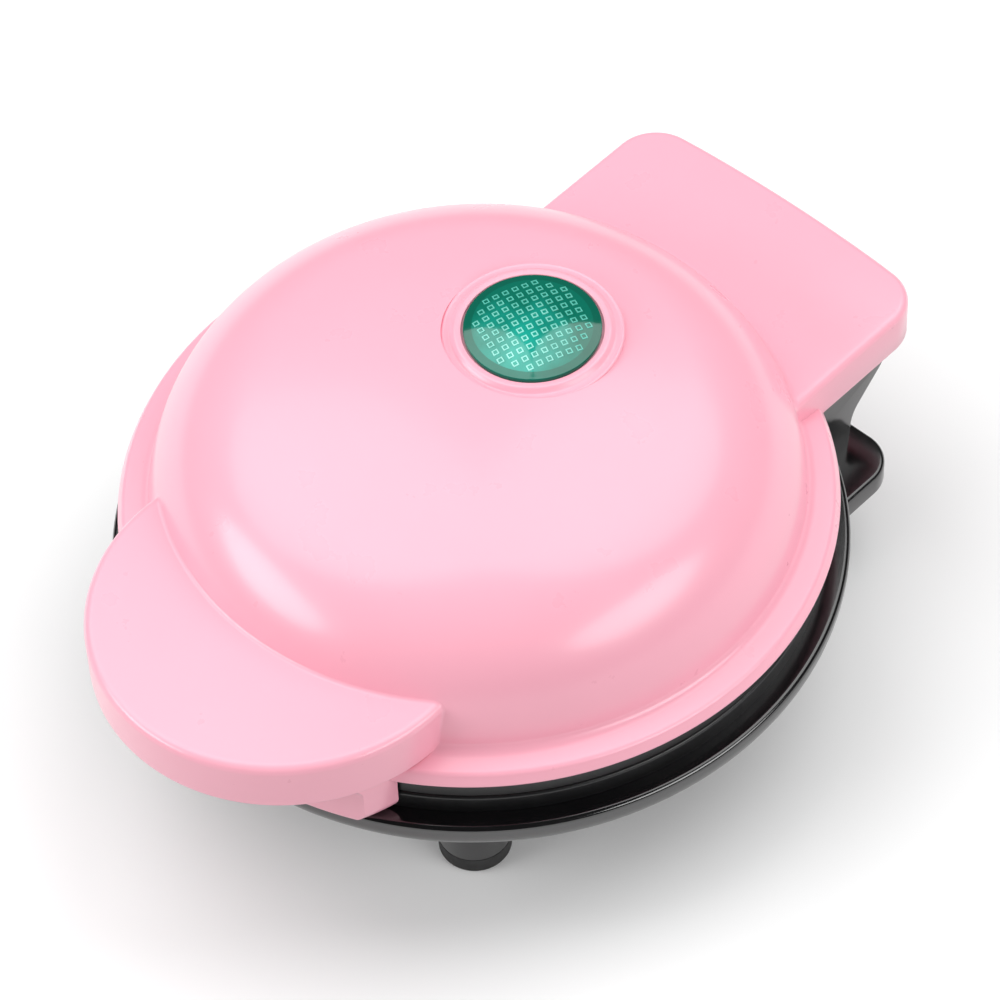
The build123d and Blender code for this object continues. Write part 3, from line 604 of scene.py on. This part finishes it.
# Three copies of one clear green plastic: the darkest for the rim and skirt and, as painted shade, for the
# squares' sunk middles; a middle one for the face; a light one, a painted highlight, for the squares' raised
# frames
LENS_MATS = [
    lens_material("lens_ring_and_painted_shade", (0.003, 0.115, 0.075), (0.004, 0.20, 0.140), 0.06),
    lens_material("lens_painted_highlight", (0.10, 0.52, 0.42), (0.38, 0.90, 0.80), 0.12),
    lens_material("lens_face", (0.003, 0.150, 0.100), (0.012, 0.42, 0.33), 0.06),
]
ON_RING_AND_PAINTED_SHADE, ON_PAINTED_HIGHLIGHT, ON_FACE = range(3)


# Lid
def outline_rim():
    """Outer edge of the lid from the wall's foot over the bead to the rim's underside."""
    corners = [
        (FOOT_R - BEAD_LEAD * math.tan(DRAFT), BEAD_Z + BEAD_LEAD, 0),
        (FOOT_R, BEAD_Z, WALL_FILLET),
        (BEAD_R, BEAD_Z - RIM_FALL, BEAD_EDGE),
        (RIM_R, RIM_Z, RIM_EDGE),
        (ROOM_R, RIM_Z, 0),
    ]
    return rounded(corners, 3)[1:-1]


def make_dome():
    """Dome and rim, cut out for the lens."""
    outside = dome_profile(0, BEAD_Z + BEAD_LEAD)[:-1] + outline_rim()
    inside = dome_profile(WALL, ROOM_Z)[::-1]
    dome = lathe("dome", outside + [(ROOM_R, RIM_Z), (ROOM_R, ROOM_Z)] + inside)
    recess_r = LANDING_R - RECESS_OVERLAP
    boolean(dome, drum("recess", recess_r, LENS_Z - RECESS_DEPTH, TOP_CUT, LENS, LENS_CUT_TURNS))
    return boolean(dome, drum("eye", SEAT_BORE, HIGH_CUT, TOP_CUT, LENS, LENS_CUT_TURNS))


def make_seat():
    """Landing round the lens, with a groove and a rounded collar."""
    corners = [
        (SEAT_BORE, LENS_Z - WALL, 0),
        (LANDING_R, LENS_Z - WALL, 0),
        (LANDING_R, LENS_Z + LANDING_RISE, LANDING_EDGE),
        (GROOVE_OUTER, LENS_Z - GROOVE_DEPTH, GROOVE_EDGE),
        (GROOVE_INNER, LENS_Z - GROOVE_DEPTH, GROOVE_EDGE),
        (COLLAR_R, LENS_Z + COLLAR_RISE, COLLAR_EDGE),
        (SEAT_R, LENS_Z + COLLAR_INNER_RISE, COLLAR_INNER_EDGE),
        (SEAT_R, LENS_Z, 0),
        (SEAT_BORE, LENS_Z, 0),
    ]
    return lathe("seat", rounded(corners, 10), LENS, SMALL_TURNS)


def dome_core():
    """Solid that ends halfway through the dome's wall, to trim what would stand inside it."""
    profile = dome_profile(CORE_INSET, LOW_CUT, CORE_STEPS)
    return lathe("core", profile + [(0, LOW_CUT)], BOWL, SMALL_TURNS)


def make_handle():
    """Disc that the dome cuts to a crescent, open underneath where it stands out."""
    corners = [
        (0, HANDLE_LOW, 0),
        (HANDLE_R, HANDLE_LOW, HANDLE_LOW_EDGE),
        (HANDLE_R, HANDLE_TOP, HANDLE_EDGE),
        (0, HANDLE_TOP, 0),
    ]
    handle = lathe("handle", rounded(corners, 6), HANDLE)
    inner_r, inner_top = HANDLE_R - HANDLE_WALL, HANDLE_TOP - HANDLE_WALL
    room = [
        (0, LOW_CUT, 0),
        (inner_r, LOW_CUT, 0),
        (inner_r, inner_top, HANDLE_INNER_EDGE),
        (0, inner_top, 0),
    ]
    hollow = lathe("hollow", rounded(room, 10), HANDLE, SMALL_TURNS)
    boolean(hollow, drum("keep", APRON_FLARE, DEEP_CUT, HIGH_CUT))
    boolean(handle, hollow)
    return boolean(handle, dome_core())


def make_apron():
    """Skirt under the handle, flared towards its top, with rounded ends."""
    foot, root = RIM_Z - APRON_DROP, HANDLE_LOW + APRON_ROOT
    wall = [
        (APRON_INNER, foot, APRON_INNER_EDGE),
        (APRON_OUTER, foot, APRON_EDGE),
        (APRON_OUTER, RIM_Z - APRON_BEND, APRON_BEND_R),
        (APRON_FLARE, root, 0),
        (APRON_INNER, root, 0),
    ]
    below, above = RIM_Z - APRON_END_DROP, HANDLE_LOW + APRON_END_TOP
    ends = [
        (0, below, 0),
        (APRON_HALF, below, APRON_END_R),
        (APRON_HALF, RIM_Z + SPREAD_START, SPREAD_R),
        (APRON_SPREAD, HANDLE_LOW + SPREAD_END, 0),
        (APRON_SPREAD, above, 0),
        (0, above, 0),
    ]
    apron = lathe("apron", rounded(wall, 6))
    return boolean(apron, lathe("ends", rounded(ends, 6), HANDLE), "INTERSECT")


def rear_edge(x):
    """Point of the cover's bowed rear edge."""
    return x, AXIS_Y + COVER_REAR - COVER_BOW + math.sqrt(COVER_BOW**2 - x * x)


def make_cover(steps=24):
    """Hinge cover, hollow underneath."""
    front = AXIS_Y + COVER_FRONT
    bow = [COVER_HALF - 2 * COVER_HALF * k / steps for k in range(1, steps)]
    plan = [(COVER_HALF, front, 0), (*rear_edge(COVER_HALF), COVER_CORNER)]
    plan += [(*rear_edge(x), 0) for x in bow if abs(x) < COVER_HALF - COVER_CORNER_SPAN]
    plan += [(*rear_edge(-COVER_HALF), COVER_CORNER), (-COVER_HALF, front, 0)]
    foot = [(COVER_FOOT_EDGE, RIM_Z), (COVER_FOOT_MIDDLE, RIM_Z + COVER_FOOT_MIDDLE)]
    top = quarter(COVER_EDGE, RIM_Z + COVER_FOOT_EDGE, COVER_TOP, False, 8)
    cover = prism("cover", rounded(plan, 4), foot + top)

    half, room_front, room_rear = COVER_HALF - WALL, AXIS_Y + COVER_ROOM_FRONT, AXIS_Y + COVER_ROOM_REAR
    room_plan = [
        (half, room_front, 0),
        (half, room_rear, COVER_ROOM_CORNER),
        (-half, room_rear, COVER_ROOM_CORNER),
        (-half, room_front, 0),
    ]
    room = prism("cover_room", rounded(room_plan), [(0, LOW_CUT), (0, COVER_TOP - WALL)])
    boolean(room, drum("keep", RIM_R, DEEP_CUT, HIGH_CUT))
    boolean(cover, room)
    boolean(cover, dome_core())
    return boolean(cover, drum("keep", ROOM_R, LOW_CUT, ROOM_Z))


def cradle(radius, top, steps=40):
    """Outline in y and z: a half circle under the hinge's axis with upright sides."""
    angles = [math.pi + math.pi * k / steps for k in range(steps + 1)]
    arc = [(HINGE + radius * math.cos(a), AXLE_Z + radius * math.sin(a)) for a in angles]
    return arc + [(HINGE + radius, top), (HINGE - radius, top)]


def pin_bore(start, end):
    return prism("bore", circle(HINGE, AXLE_Z, PIN_BORE, BORE_TURNS), [(0, start), (0, end)], "yzx")


def make_lug(x):
    """Lug that hangs from the cover round a hinge pin."""
    left, right = x - LUG_WIDTH / 2, x + LUG_WIDTH / 2
    levels = [(LUG_EDGE, left), (0, left + LUG_EDGE), (0, right - LUG_EDGE), (LUG_EDGE, right)]
    lug = prism("lug", cradle(KNUCKLE_R - FIT, COVER_TOP - LUG_ROOT), levels, "yzx")
    return boolean(lug, pin_bore(x - LUG_WIDTH, x + LUG_WIDTH))


def handle_plan(p):
    return np.hypot(p[:, 0] - HANDLE[0], p[:, 1] - HANDLE[1]) - HANDLE_R


def cover_plan(p):
    return np.abs(p[:, 0]) - COVER_HALF


def make_fillets():
    """Fillets where handle and cover leave the dome; each starts at a guess on the lid's middle line."""
    handle_field = post_field(handle_plan, HANDLE_TOP, HANDLE_EDGE)
    cover_field = post_field(cover_plan, COVER_TOP, COVER_EDGE)
    handle_start = (0, HANDLE_GUESS, HANDLE_TOP + HANDLE_FILLET)
    cover_start = (0, COVER_GUESS, COVER_TOP + COVER_FILLET)
    return [
        fillet("handle_fillet", handle_field, handle_start, HANDLE_FILLET, HANDLE_FILLET_END),
        fillet("cover_fillet", cover_field, cover_start, COVER_FILLET, COVER_FILLET_END),
    ]


lid_pieces = [make_dome(), make_seat(), make_handle(), make_apron(), make_cover()]
lid_pieces += [make_lug(-LUG_X), make_lug(LUG_X)] + make_fillets()
lid = join("lid_moulding", lid_pieces)
settle(lid, "lid", "lid_shell", [MATS["pink_plastic"]], dome_field)


# Base
def bowl_profile(inset):
    """Bowl from the middle of its floor out and up to its lip, drawn in by an inset."""
    slope = math.atan((SLOPE_TOP - FLOOR_Z) / (LIP_R - FLOOR_R))
    floor_r = FLOOR_R - inset * math.tan(slope / 2)
    corner_z = SLOPE_TOP + inset * math.tan(math.pi / 4 - slope / 2)
    lip_sweep = LIP_INNER_SWEEP if inset else LIP_SWEEP
    return [
        (0, FLOOR_Z + inset, 0),
        (floor_r, FLOOR_Z + inset, BOWL_SWEEP - inset),
        (LIP_R - inset, corner_z, lip_sweep),
    ]


def make_bowl():
    under = LEDGE_Z - BOWL_WALL
    ledge = [
        (LIP_R, LEDGE_Z, LIP_EDGE),
        (MOUTH_R, LEDGE_Z, LEDGE_EDGE),
        (MOUTH_R, under, 0),
        (LIP_R - BOWL_WALL, under, 0),
    ]
    return lathe("bowl", rounded(bowl_profile(0) + ledge + bowl_profile(BOWL_WALL)[::-1], 4))


def bowl_core():
    """Room inside the bowl, taken to the middle of its wall."""
    profile = bowl_profile(BOWL_TRIM) + [(LIP_R - BOWL_TRIM, CORE_TOP, 0), (0, CORE_TOP, 0)]
    return lathe("bowl_core", rounded(profile, 6), BOWL, SMALL_TURNS)


def mouth():
    """Room above the ledge for the frames, and the mouth below it."""
    profile = [
        (0, MOUTH_LOW),
        (MOUTH_R, MOUTH_LOW),
        (MOUTH_R, LEDGE_Z),
        (FRAME_R, LEDGE_Z),
        (FRAME_R, HIGH_CUT),
        (0, HIGH_CUT),
    ]
    return lathe("mouth", profile)


def column_side(steps=36):
    """Side view of the column: nearly upright back, flare, and the round of the knuckles."""
    angles = [FLARE + (math.pi - FLARE) * k / steps for k in range(steps + 1)]
    knuckle = [(HINGE_Y + KNUCKLE_R * math.sin(a), AXLE_Z - KNUCKLE_R * math.cos(a)) for a in angles]
    flare_y, flare_z = knuckle[0]
    bend_z = flare_z - (flare_y - COLUMN_BEND) * math.tan(FLARE)
    back = [
        (COLUMN_FRONT, COLUMN_LOW, 0),
        (COLUMN_FOOT, COLUMN_LOW, 0),
        (COLUMN_BEND, bend_z, COLUMN_BEND_R),
        (flare_y, flare_z, 0),
    ]
    top = AXLE_Z + KNUCKLE_R
    side = rounded(back, 3) + knuckle[1:] + [(HINGE_Y - KNUCKLE_FLAT, top), (COLUMN_FRONT, top)]
    return [(y + AXIS_Y, min(z, RIM_Z - COLUMN_GAP)) for y, z in side]


def inlet_drum(radius, start, end):
    """Round solid on the inlet's axis, between two distances behind its face."""
    return prism("spot", circle(0, INLET_Z, radius), [(0, INLET_Y + start), (0, INLET_Y + end)], "xzy")


def make_column():
    """Rear column with slots for the lid's lugs, bores for the pins and the inlet's seat."""
    column = prism("column", column_side(), quarter(COLUMN_EDGE, -COLUMN_HALF, COLUMN_HALF, True, 4), "yzx")
    slot_half = LUG_WIDTH / 2 + SLOT_GAP
    for way in (-1, 1):
        x = way * LUG_X
        slot = cradle(KNUCKLE_R + FIT, AXLE_Z + SLOT_RISE)
        boolean(column, prism("slot", slot, [(0, x - slot_half), (0, x + slot_half)], "yzx"))
        start, end = sorted((way * (COLUMN_HALF + BORE_CLEAR), way * (COLUMN_HALF - BORE_DEPTH)))
        boolean(column, pin_bore(start, end))
    boolean(column, mouth())
    boolean(column, bowl_core())
    boolean(column, inlet_drum(INLET_BOSS_R, 0, INLET_CLEAR))
    return boolean(column, inlet_drum(INLET_BORE_R, -INLET_BORE_DEPTH, INLET_CLEAR))


def make_flange():
    front = COLUMN_FRONT + AXIS_Y
    plan = [
        (FLANGE_HALF, front, 0),
        (FLANGE_HALF, FLANGE_REAR, FLANGE_CORNER),
        (-FLANGE_HALF, FLANGE_REAR, FLANGE_CORNER),
        (-FLANGE_HALF, front, 0),
    ]
    flange = prism("flange", rounded(plan, 3), quarter(FLANGE_EDGE, COLUMN_LOW, FLANGE_TOP, True, 5))
    return boolean(flange, bowl_core())


def make_boss():
    """Ring round the inlet's bush."""
    boss = inlet_drum(INLET_BOSS_R, -INLET_BOSS_DEPTH, 0)
    return boolean(boss, inlet_drum(INLET_BORE_R, -INLET_BORE_DEPTH, INLET_CLEAR))


def make_post(x, y):
    """Post that a foot pad sits on."""
    corners = [(0, POST_LOW, 0), (POST_R, POST_LOW, POST_EDGE), (POST_R, POST_TOP, 0), (0, POST_TOP, 0)]
    return boolean(lathe("post", rounded(corners, 15), (x, y), POST_TURNS), bowl_core())


base_pieces = [make_bowl(), make_column(), make_flange(), make_boss()]
base_pieces += [make_post(x, AXIS_Y + y) for x in (-POST_X, POST_X) for y in (-POST_Y, POST_Y)]
base = join("base_moulding", base_pieces)
settle(base, "base", "base_shell", [MATS["black_plastic"]])


# Lens
def cap_z(r):
    """Height of the lens's face under its squares."""
    ball = (LENS_R**2 + LENS_RISE**2) / (2 * LENS_RISE)
    return LENS_Z + LENS_RIM + LENS_RISE - ball + math.sqrt(ball**2 - r * r)


def make_cap(steps=40):
    """Domed lens with its skirt, the face under the squares in its own material."""
    radii = [LENS_R * k / steps for k in range(steps)]
    edge_z = LENS_Z + LENS_RIM - 0.1
    low = LENS_Z - LENS_SKIRT_DEPTH
    profile = [(r, cap_z(r)) for r in radii] + [
        (LENS_R - 0.1, LENS_Z + LENS_RIM + 0.05),
        (LENS_R, edge_z),
        (LENS_R, LENS_Z),
        (LENS_SKIRT, LENS_Z),
        (LENS_SKIRT, low),
        (LENS_SKIRT_INNER, low),
        (LENS_SKIRT_INNER, LENS_Z + LENS_RIM / 2),
        (0, LENS_Z + LENS_RIM / 2),
    ]
    cap = lathe("cap", profile, LENS, SMALL_TURNS)
    for face in cap.data.polygons:
        r = math.hypot(face.center.x - LENS[0], face.center.y - LENS[1])
        face.material_index = ON_FACE if r < GRID_R and face.center.z > edge_z else ON_RING_AND_PAINTED_SHADE
    return cap


def tile_ring(u, v, half, lift):
    """Four corners of a square on the lens, lifted off its face."""
    ring = []
    for du, dv in ((-1, -1), (1, -1), (1, 1), (-1, 1)):
        a, b = u + du * half, v + dv * half
        x = a * math.cos(GRID_TURN) - b * math.sin(GRID_TURN)
        y = a * math.sin(GRID_TURN) + b * math.cos(GRID_TURN)
        ring.append((LENS[0] + x, LENS[1] + y, cap_z(math.hypot(x, y)) + lift))
    return ring


def make_tiles():
    """Grid of raised square frames, each sunk in the middle."""
    verts, faces = [], []
    reach = PITCH * TILE_RINGS[0][0]
    count = int(GRID_R / PITCH) + 1
    middles = [(i + 0.5) * PITCH for i in range(-count, count + 1)]
    for u in middles:
        for v in middles:
            if math.hypot(abs(u) + reach, abs(v) + reach) > GRID_R:
                continue
            first = len(verts)
            for share, lift in TILE_RINGS:
                verts += tile_ring(u, v, share * PITCH, lift)
            last = len(verts) - 4
            faces.append([last + s for s in range(4)])
            faces.append([first + s for s in (3, 2, 1, 0)])
            for low in range(first, last, 4):
                for s in range(4):
                    t = (s + 1) % 4
                    faces.append([low + s, low + t, low + 4 + t, low + 4 + s])
    tiles = link("tiles", verts, faces)
    # Sunk middles take the darkest copy of the plastic as painted shade; the raised frames take the light
    # copy as a painted highlight
    for face in tiles.data.polygons:
        x, y, z = face.center
        sunk = z < cap_z(math.hypot(x - LENS[0], y - LENS[1])) - 0.01 and face.normal.z > 0.7
        face.material_index = ON_RING_AND_PAINTED_SHADE if sunk else ON_PAINTED_HIGHLIGHT
    return tiles


lens = join("lens_dome", [make_cap(), make_tiles()])
settle(lens, "lid", "lamp_lens", LENS_MATS)


# Materials of the nodes that the frame carries over
SLOTS = {
    "soft_black": ("base_frame", "lid_frame"),
    "nonstick": ("lower_plate", "upper_plate"),
    "element_steel": ("lower_element", "upper_element"),
    "sheet_steel": ("lower_element_clamp", "upper_element_clamp"),
    "shield_aluminium": ("lower_heat_shield", "upper_heat_shield"),
    "thermostat_body": ("thermostat",),
    "fuse_sleeve": ("thermal_fuse",),
    "pin_steel": ("hinge_pin_left", "hinge_pin_right"),
    "screw_steel": (
        "lower_plate_screws",
        "upper_plate_screws",
        "lower_clamp_screw",
        "upper_clamp_screw",
        "base_screws",
        "lid_frame_screws",
    ),
    "spring_steel": ("lens_clip",),
    "white_plastic": ("lamp_holder",),
    "lamp_glass": ("lamp",),
    "black_plastic": ("inlet_bush",),
    "foot_rubber": ("front_foot_left", "front_foot_right", "rear_foot_left", "rear_foot_right"),
}
for slot_name, node_names in SLOTS.items():
    for node_name in node_names:
        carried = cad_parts[node_name]
        carried.data.materials.clear()
        carried.data.materials.append(MATS[slot_name])


# Stage, light and camera, in metres apart from the camera's place
AIM = Vector((0, 0, 0.045))
FLOOR_HALF, FLOOR_DROP = 6.0, 0.0002
FLOOR_BOUNCE = 0.52
FADE_START, FADE_END = 0.17, 0.36
ROOM_LIGHT, MIRROR_LIGHT, BACKDROP = 0.34, 0.04, 1.0
CAMERA_AZIMUTH, CAMERA_ELEVATION, CAMERA_ROLL = math.radians(45.37), math.radians(50.73), math.radians(-2.95)
CAMERA_TARGET, CAMERA_DISTANCE = (3.51, 0.54, 38.0), 824.5


def area(name, azimuth, elevation, distance, width, height, radiance):
    """Softbox that faces the object, its strength given as plain radiance."""
    lamp = bpy.data.lights.new(name, "AREA")
    lamp.shape = "ELLIPSE"
    lamp.size = width
    lamp.size_y = height
    lamp.energy = radiance * math.pi * width * height
    obj = bpy.data.objects.new(name, lamp)
    a, e = math.radians(azimuth), math.radians(elevation)
    way = Vector((math.cos(a) * math.cos(e), math.sin(a) * math.cos(e), math.sin(e)))
    obj.location = AIM + way * distance
    obj.rotation_mode = "QUATERNION"
    obj.rotation_quaternion = way.to_track_quat("Z", "Y")
    bpy.context.scene.collection.objects.link(obj)


area("front_left_box", azimuth=-122, elevation=25, distance=0.9, width=0.74, height=0.34, radiance=4.6)
area("front_right_box", azimuth=8, elevation=28, distance=0.9, width=0.78, height=0.34, radiance=3.8)
area("top_left_box", azimuth=192, elevation=60, distance=1.0, width=0.92, height=0.92, radiance=1.7)
area("top_right_box", azimuth=78, elevation=60, distance=1.0, width=0.92, height=0.92, radiance=1.7)


def floor_material():
    """White floor that bounces less light than it shows, and fades to the backdrop's white further out."""
    mat = material("floor_white", (0.93,) * 3, (0.95,) * 3, rough=(0.7, 0.8), bump=0.0, scale=3, grain=50)
    tree = mat.node_tree
    shader = tree.nodes["Principled BSDF"]
    path = tree.nodes.new("ShaderNodeLightPath")

    seen_colour, bounced_colour, colour = colour_mix(tree, path.outputs["Is Diffuse Ray"])
    tree.links.new(shader.inputs["Base Color"].links[0].from_socket, seen_colour)
    bounced_colour.default_value = (FLOOR_BOUNCE, FLOOR_BOUNCE, FLOOR_BOUNCE, 1)
    tree.links.new(colour, shader.inputs["Base Color"])
    set_inputs(shader, Specular_IOR_Level=0.0)

    away = distance_from(tree, tree.nodes.new("ShaderNodeTexCoord").outputs["Object"])
    fade = add_node(tree, "ShaderNodeMapRange", From_Min=FADE_START, From_Max=FADE_END)
    fade.interpolation_type = "SMOOTHSTEP"
    tree.links.new(away, fade.inputs["Value"])
    seen = tree.nodes.new("ShaderNodeMath")
    seen.operation = "MULTIPLY"
    tree.links.new(fade.outputs["Result"], seen.inputs[0])
    tree.links.new(path.outputs["Is Camera Ray"], seen.inputs[1])
    plain_white = add_node(tree, "ShaderNodeEmission", Color=WHITE)
    surface = either(tree, seen.outputs[0], shader.outputs[0], plain_white.outputs[0])
    tree.links.new(surface, tree.nodes["Material Output"].inputs["Surface"])
    return mat


floor_corners = [(x * FLOOR_HALF, y * FLOOR_HALF, 0) for x, y in ((-1, -1), (1, -1), (1, 1), (-1, 1))]
floor_mesh = bpy.data.meshes.new("floor")
floor_mesh.from_pydata(floor_corners, [], [(0, 1, 2, 3)])
floor_mesh.materials.append(floor_material())
floor = bpy.data.objects.new("floor", floor_mesh)
floor.location.z = -FLOOR_DROP
bpy.context.scene.collection.objects.link(floor)


def make_world():
    """White to the camera, and a dim even light to everything else, dimmest in reflections."""
    world = bpy.data.worlds.new("studio")
    world.use_nodes = True
    tree = world.node_tree
    tree.nodes.clear()
    path = tree.nodes.new("ShaderNodeLightPath")
    room, mirror, backdrop = [
        add_node(tree, "ShaderNodeBackground", Color=WHITE, Strength=strength).outputs[0]
        for strength in (ROOM_LIGHT, MIRROR_LIGHT, BACKDROP)
    ]
    lighting = either(tree, path.outputs["Is Glossy Ray"], room, mirror)
    surface = either(tree, path.outputs["Is Camera Ray"], lighting, backdrop)
    tree.links.new(surface, tree.nodes.new("ShaderNodeOutputWorld").inputs["Surface"])
    return world


def make_camera():
    """Camera placed by azimuth, elevation and roll about a target."""
    camera = bpy.data.objects.new("camera", bpy.data.cameras.new("camera"))
    bpy.context.scene.collection.objects.link(camera)
    level = math.cos(CAMERA_ELEVATION)
    back = Vector(
        (math.sin(CAMERA_AZIMUTH) * level, -math.cos(CAMERA_AZIMUTH) * level, math.sin(CAMERA_ELEVATION))
    )
    right = Vector((math.cos(CAMERA_AZIMUTH), math.sin(CAMERA_AZIMUTH), 0))
    up = back.cross(right)
    across = math.cos(CAMERA_ROLL) * right + math.sin(CAMERA_ROLL) * up
    above = math.cos(CAMERA_ROLL) * up - math.sin(CAMERA_ROLL) * right
    turn = Matrix((across, above, back)).transposed().to_4x4()
    place = (Vector(CAMERA_TARGET) + CAMERA_DISTANCE * back) * MM
    camera.matrix_world = Matrix.Translation(place) @ turn
    camera.data.sensor_width = 36
    camera.data.lens = 172.4
    camera.data.clip_start = 0.01
    camera.data.clip_end = 50
    return camera


bpy.context.scene.world = make_world()
bpy.context.scene.camera = make_camera()
bpy.context.scene.view_settings.view_transform = "Standard"
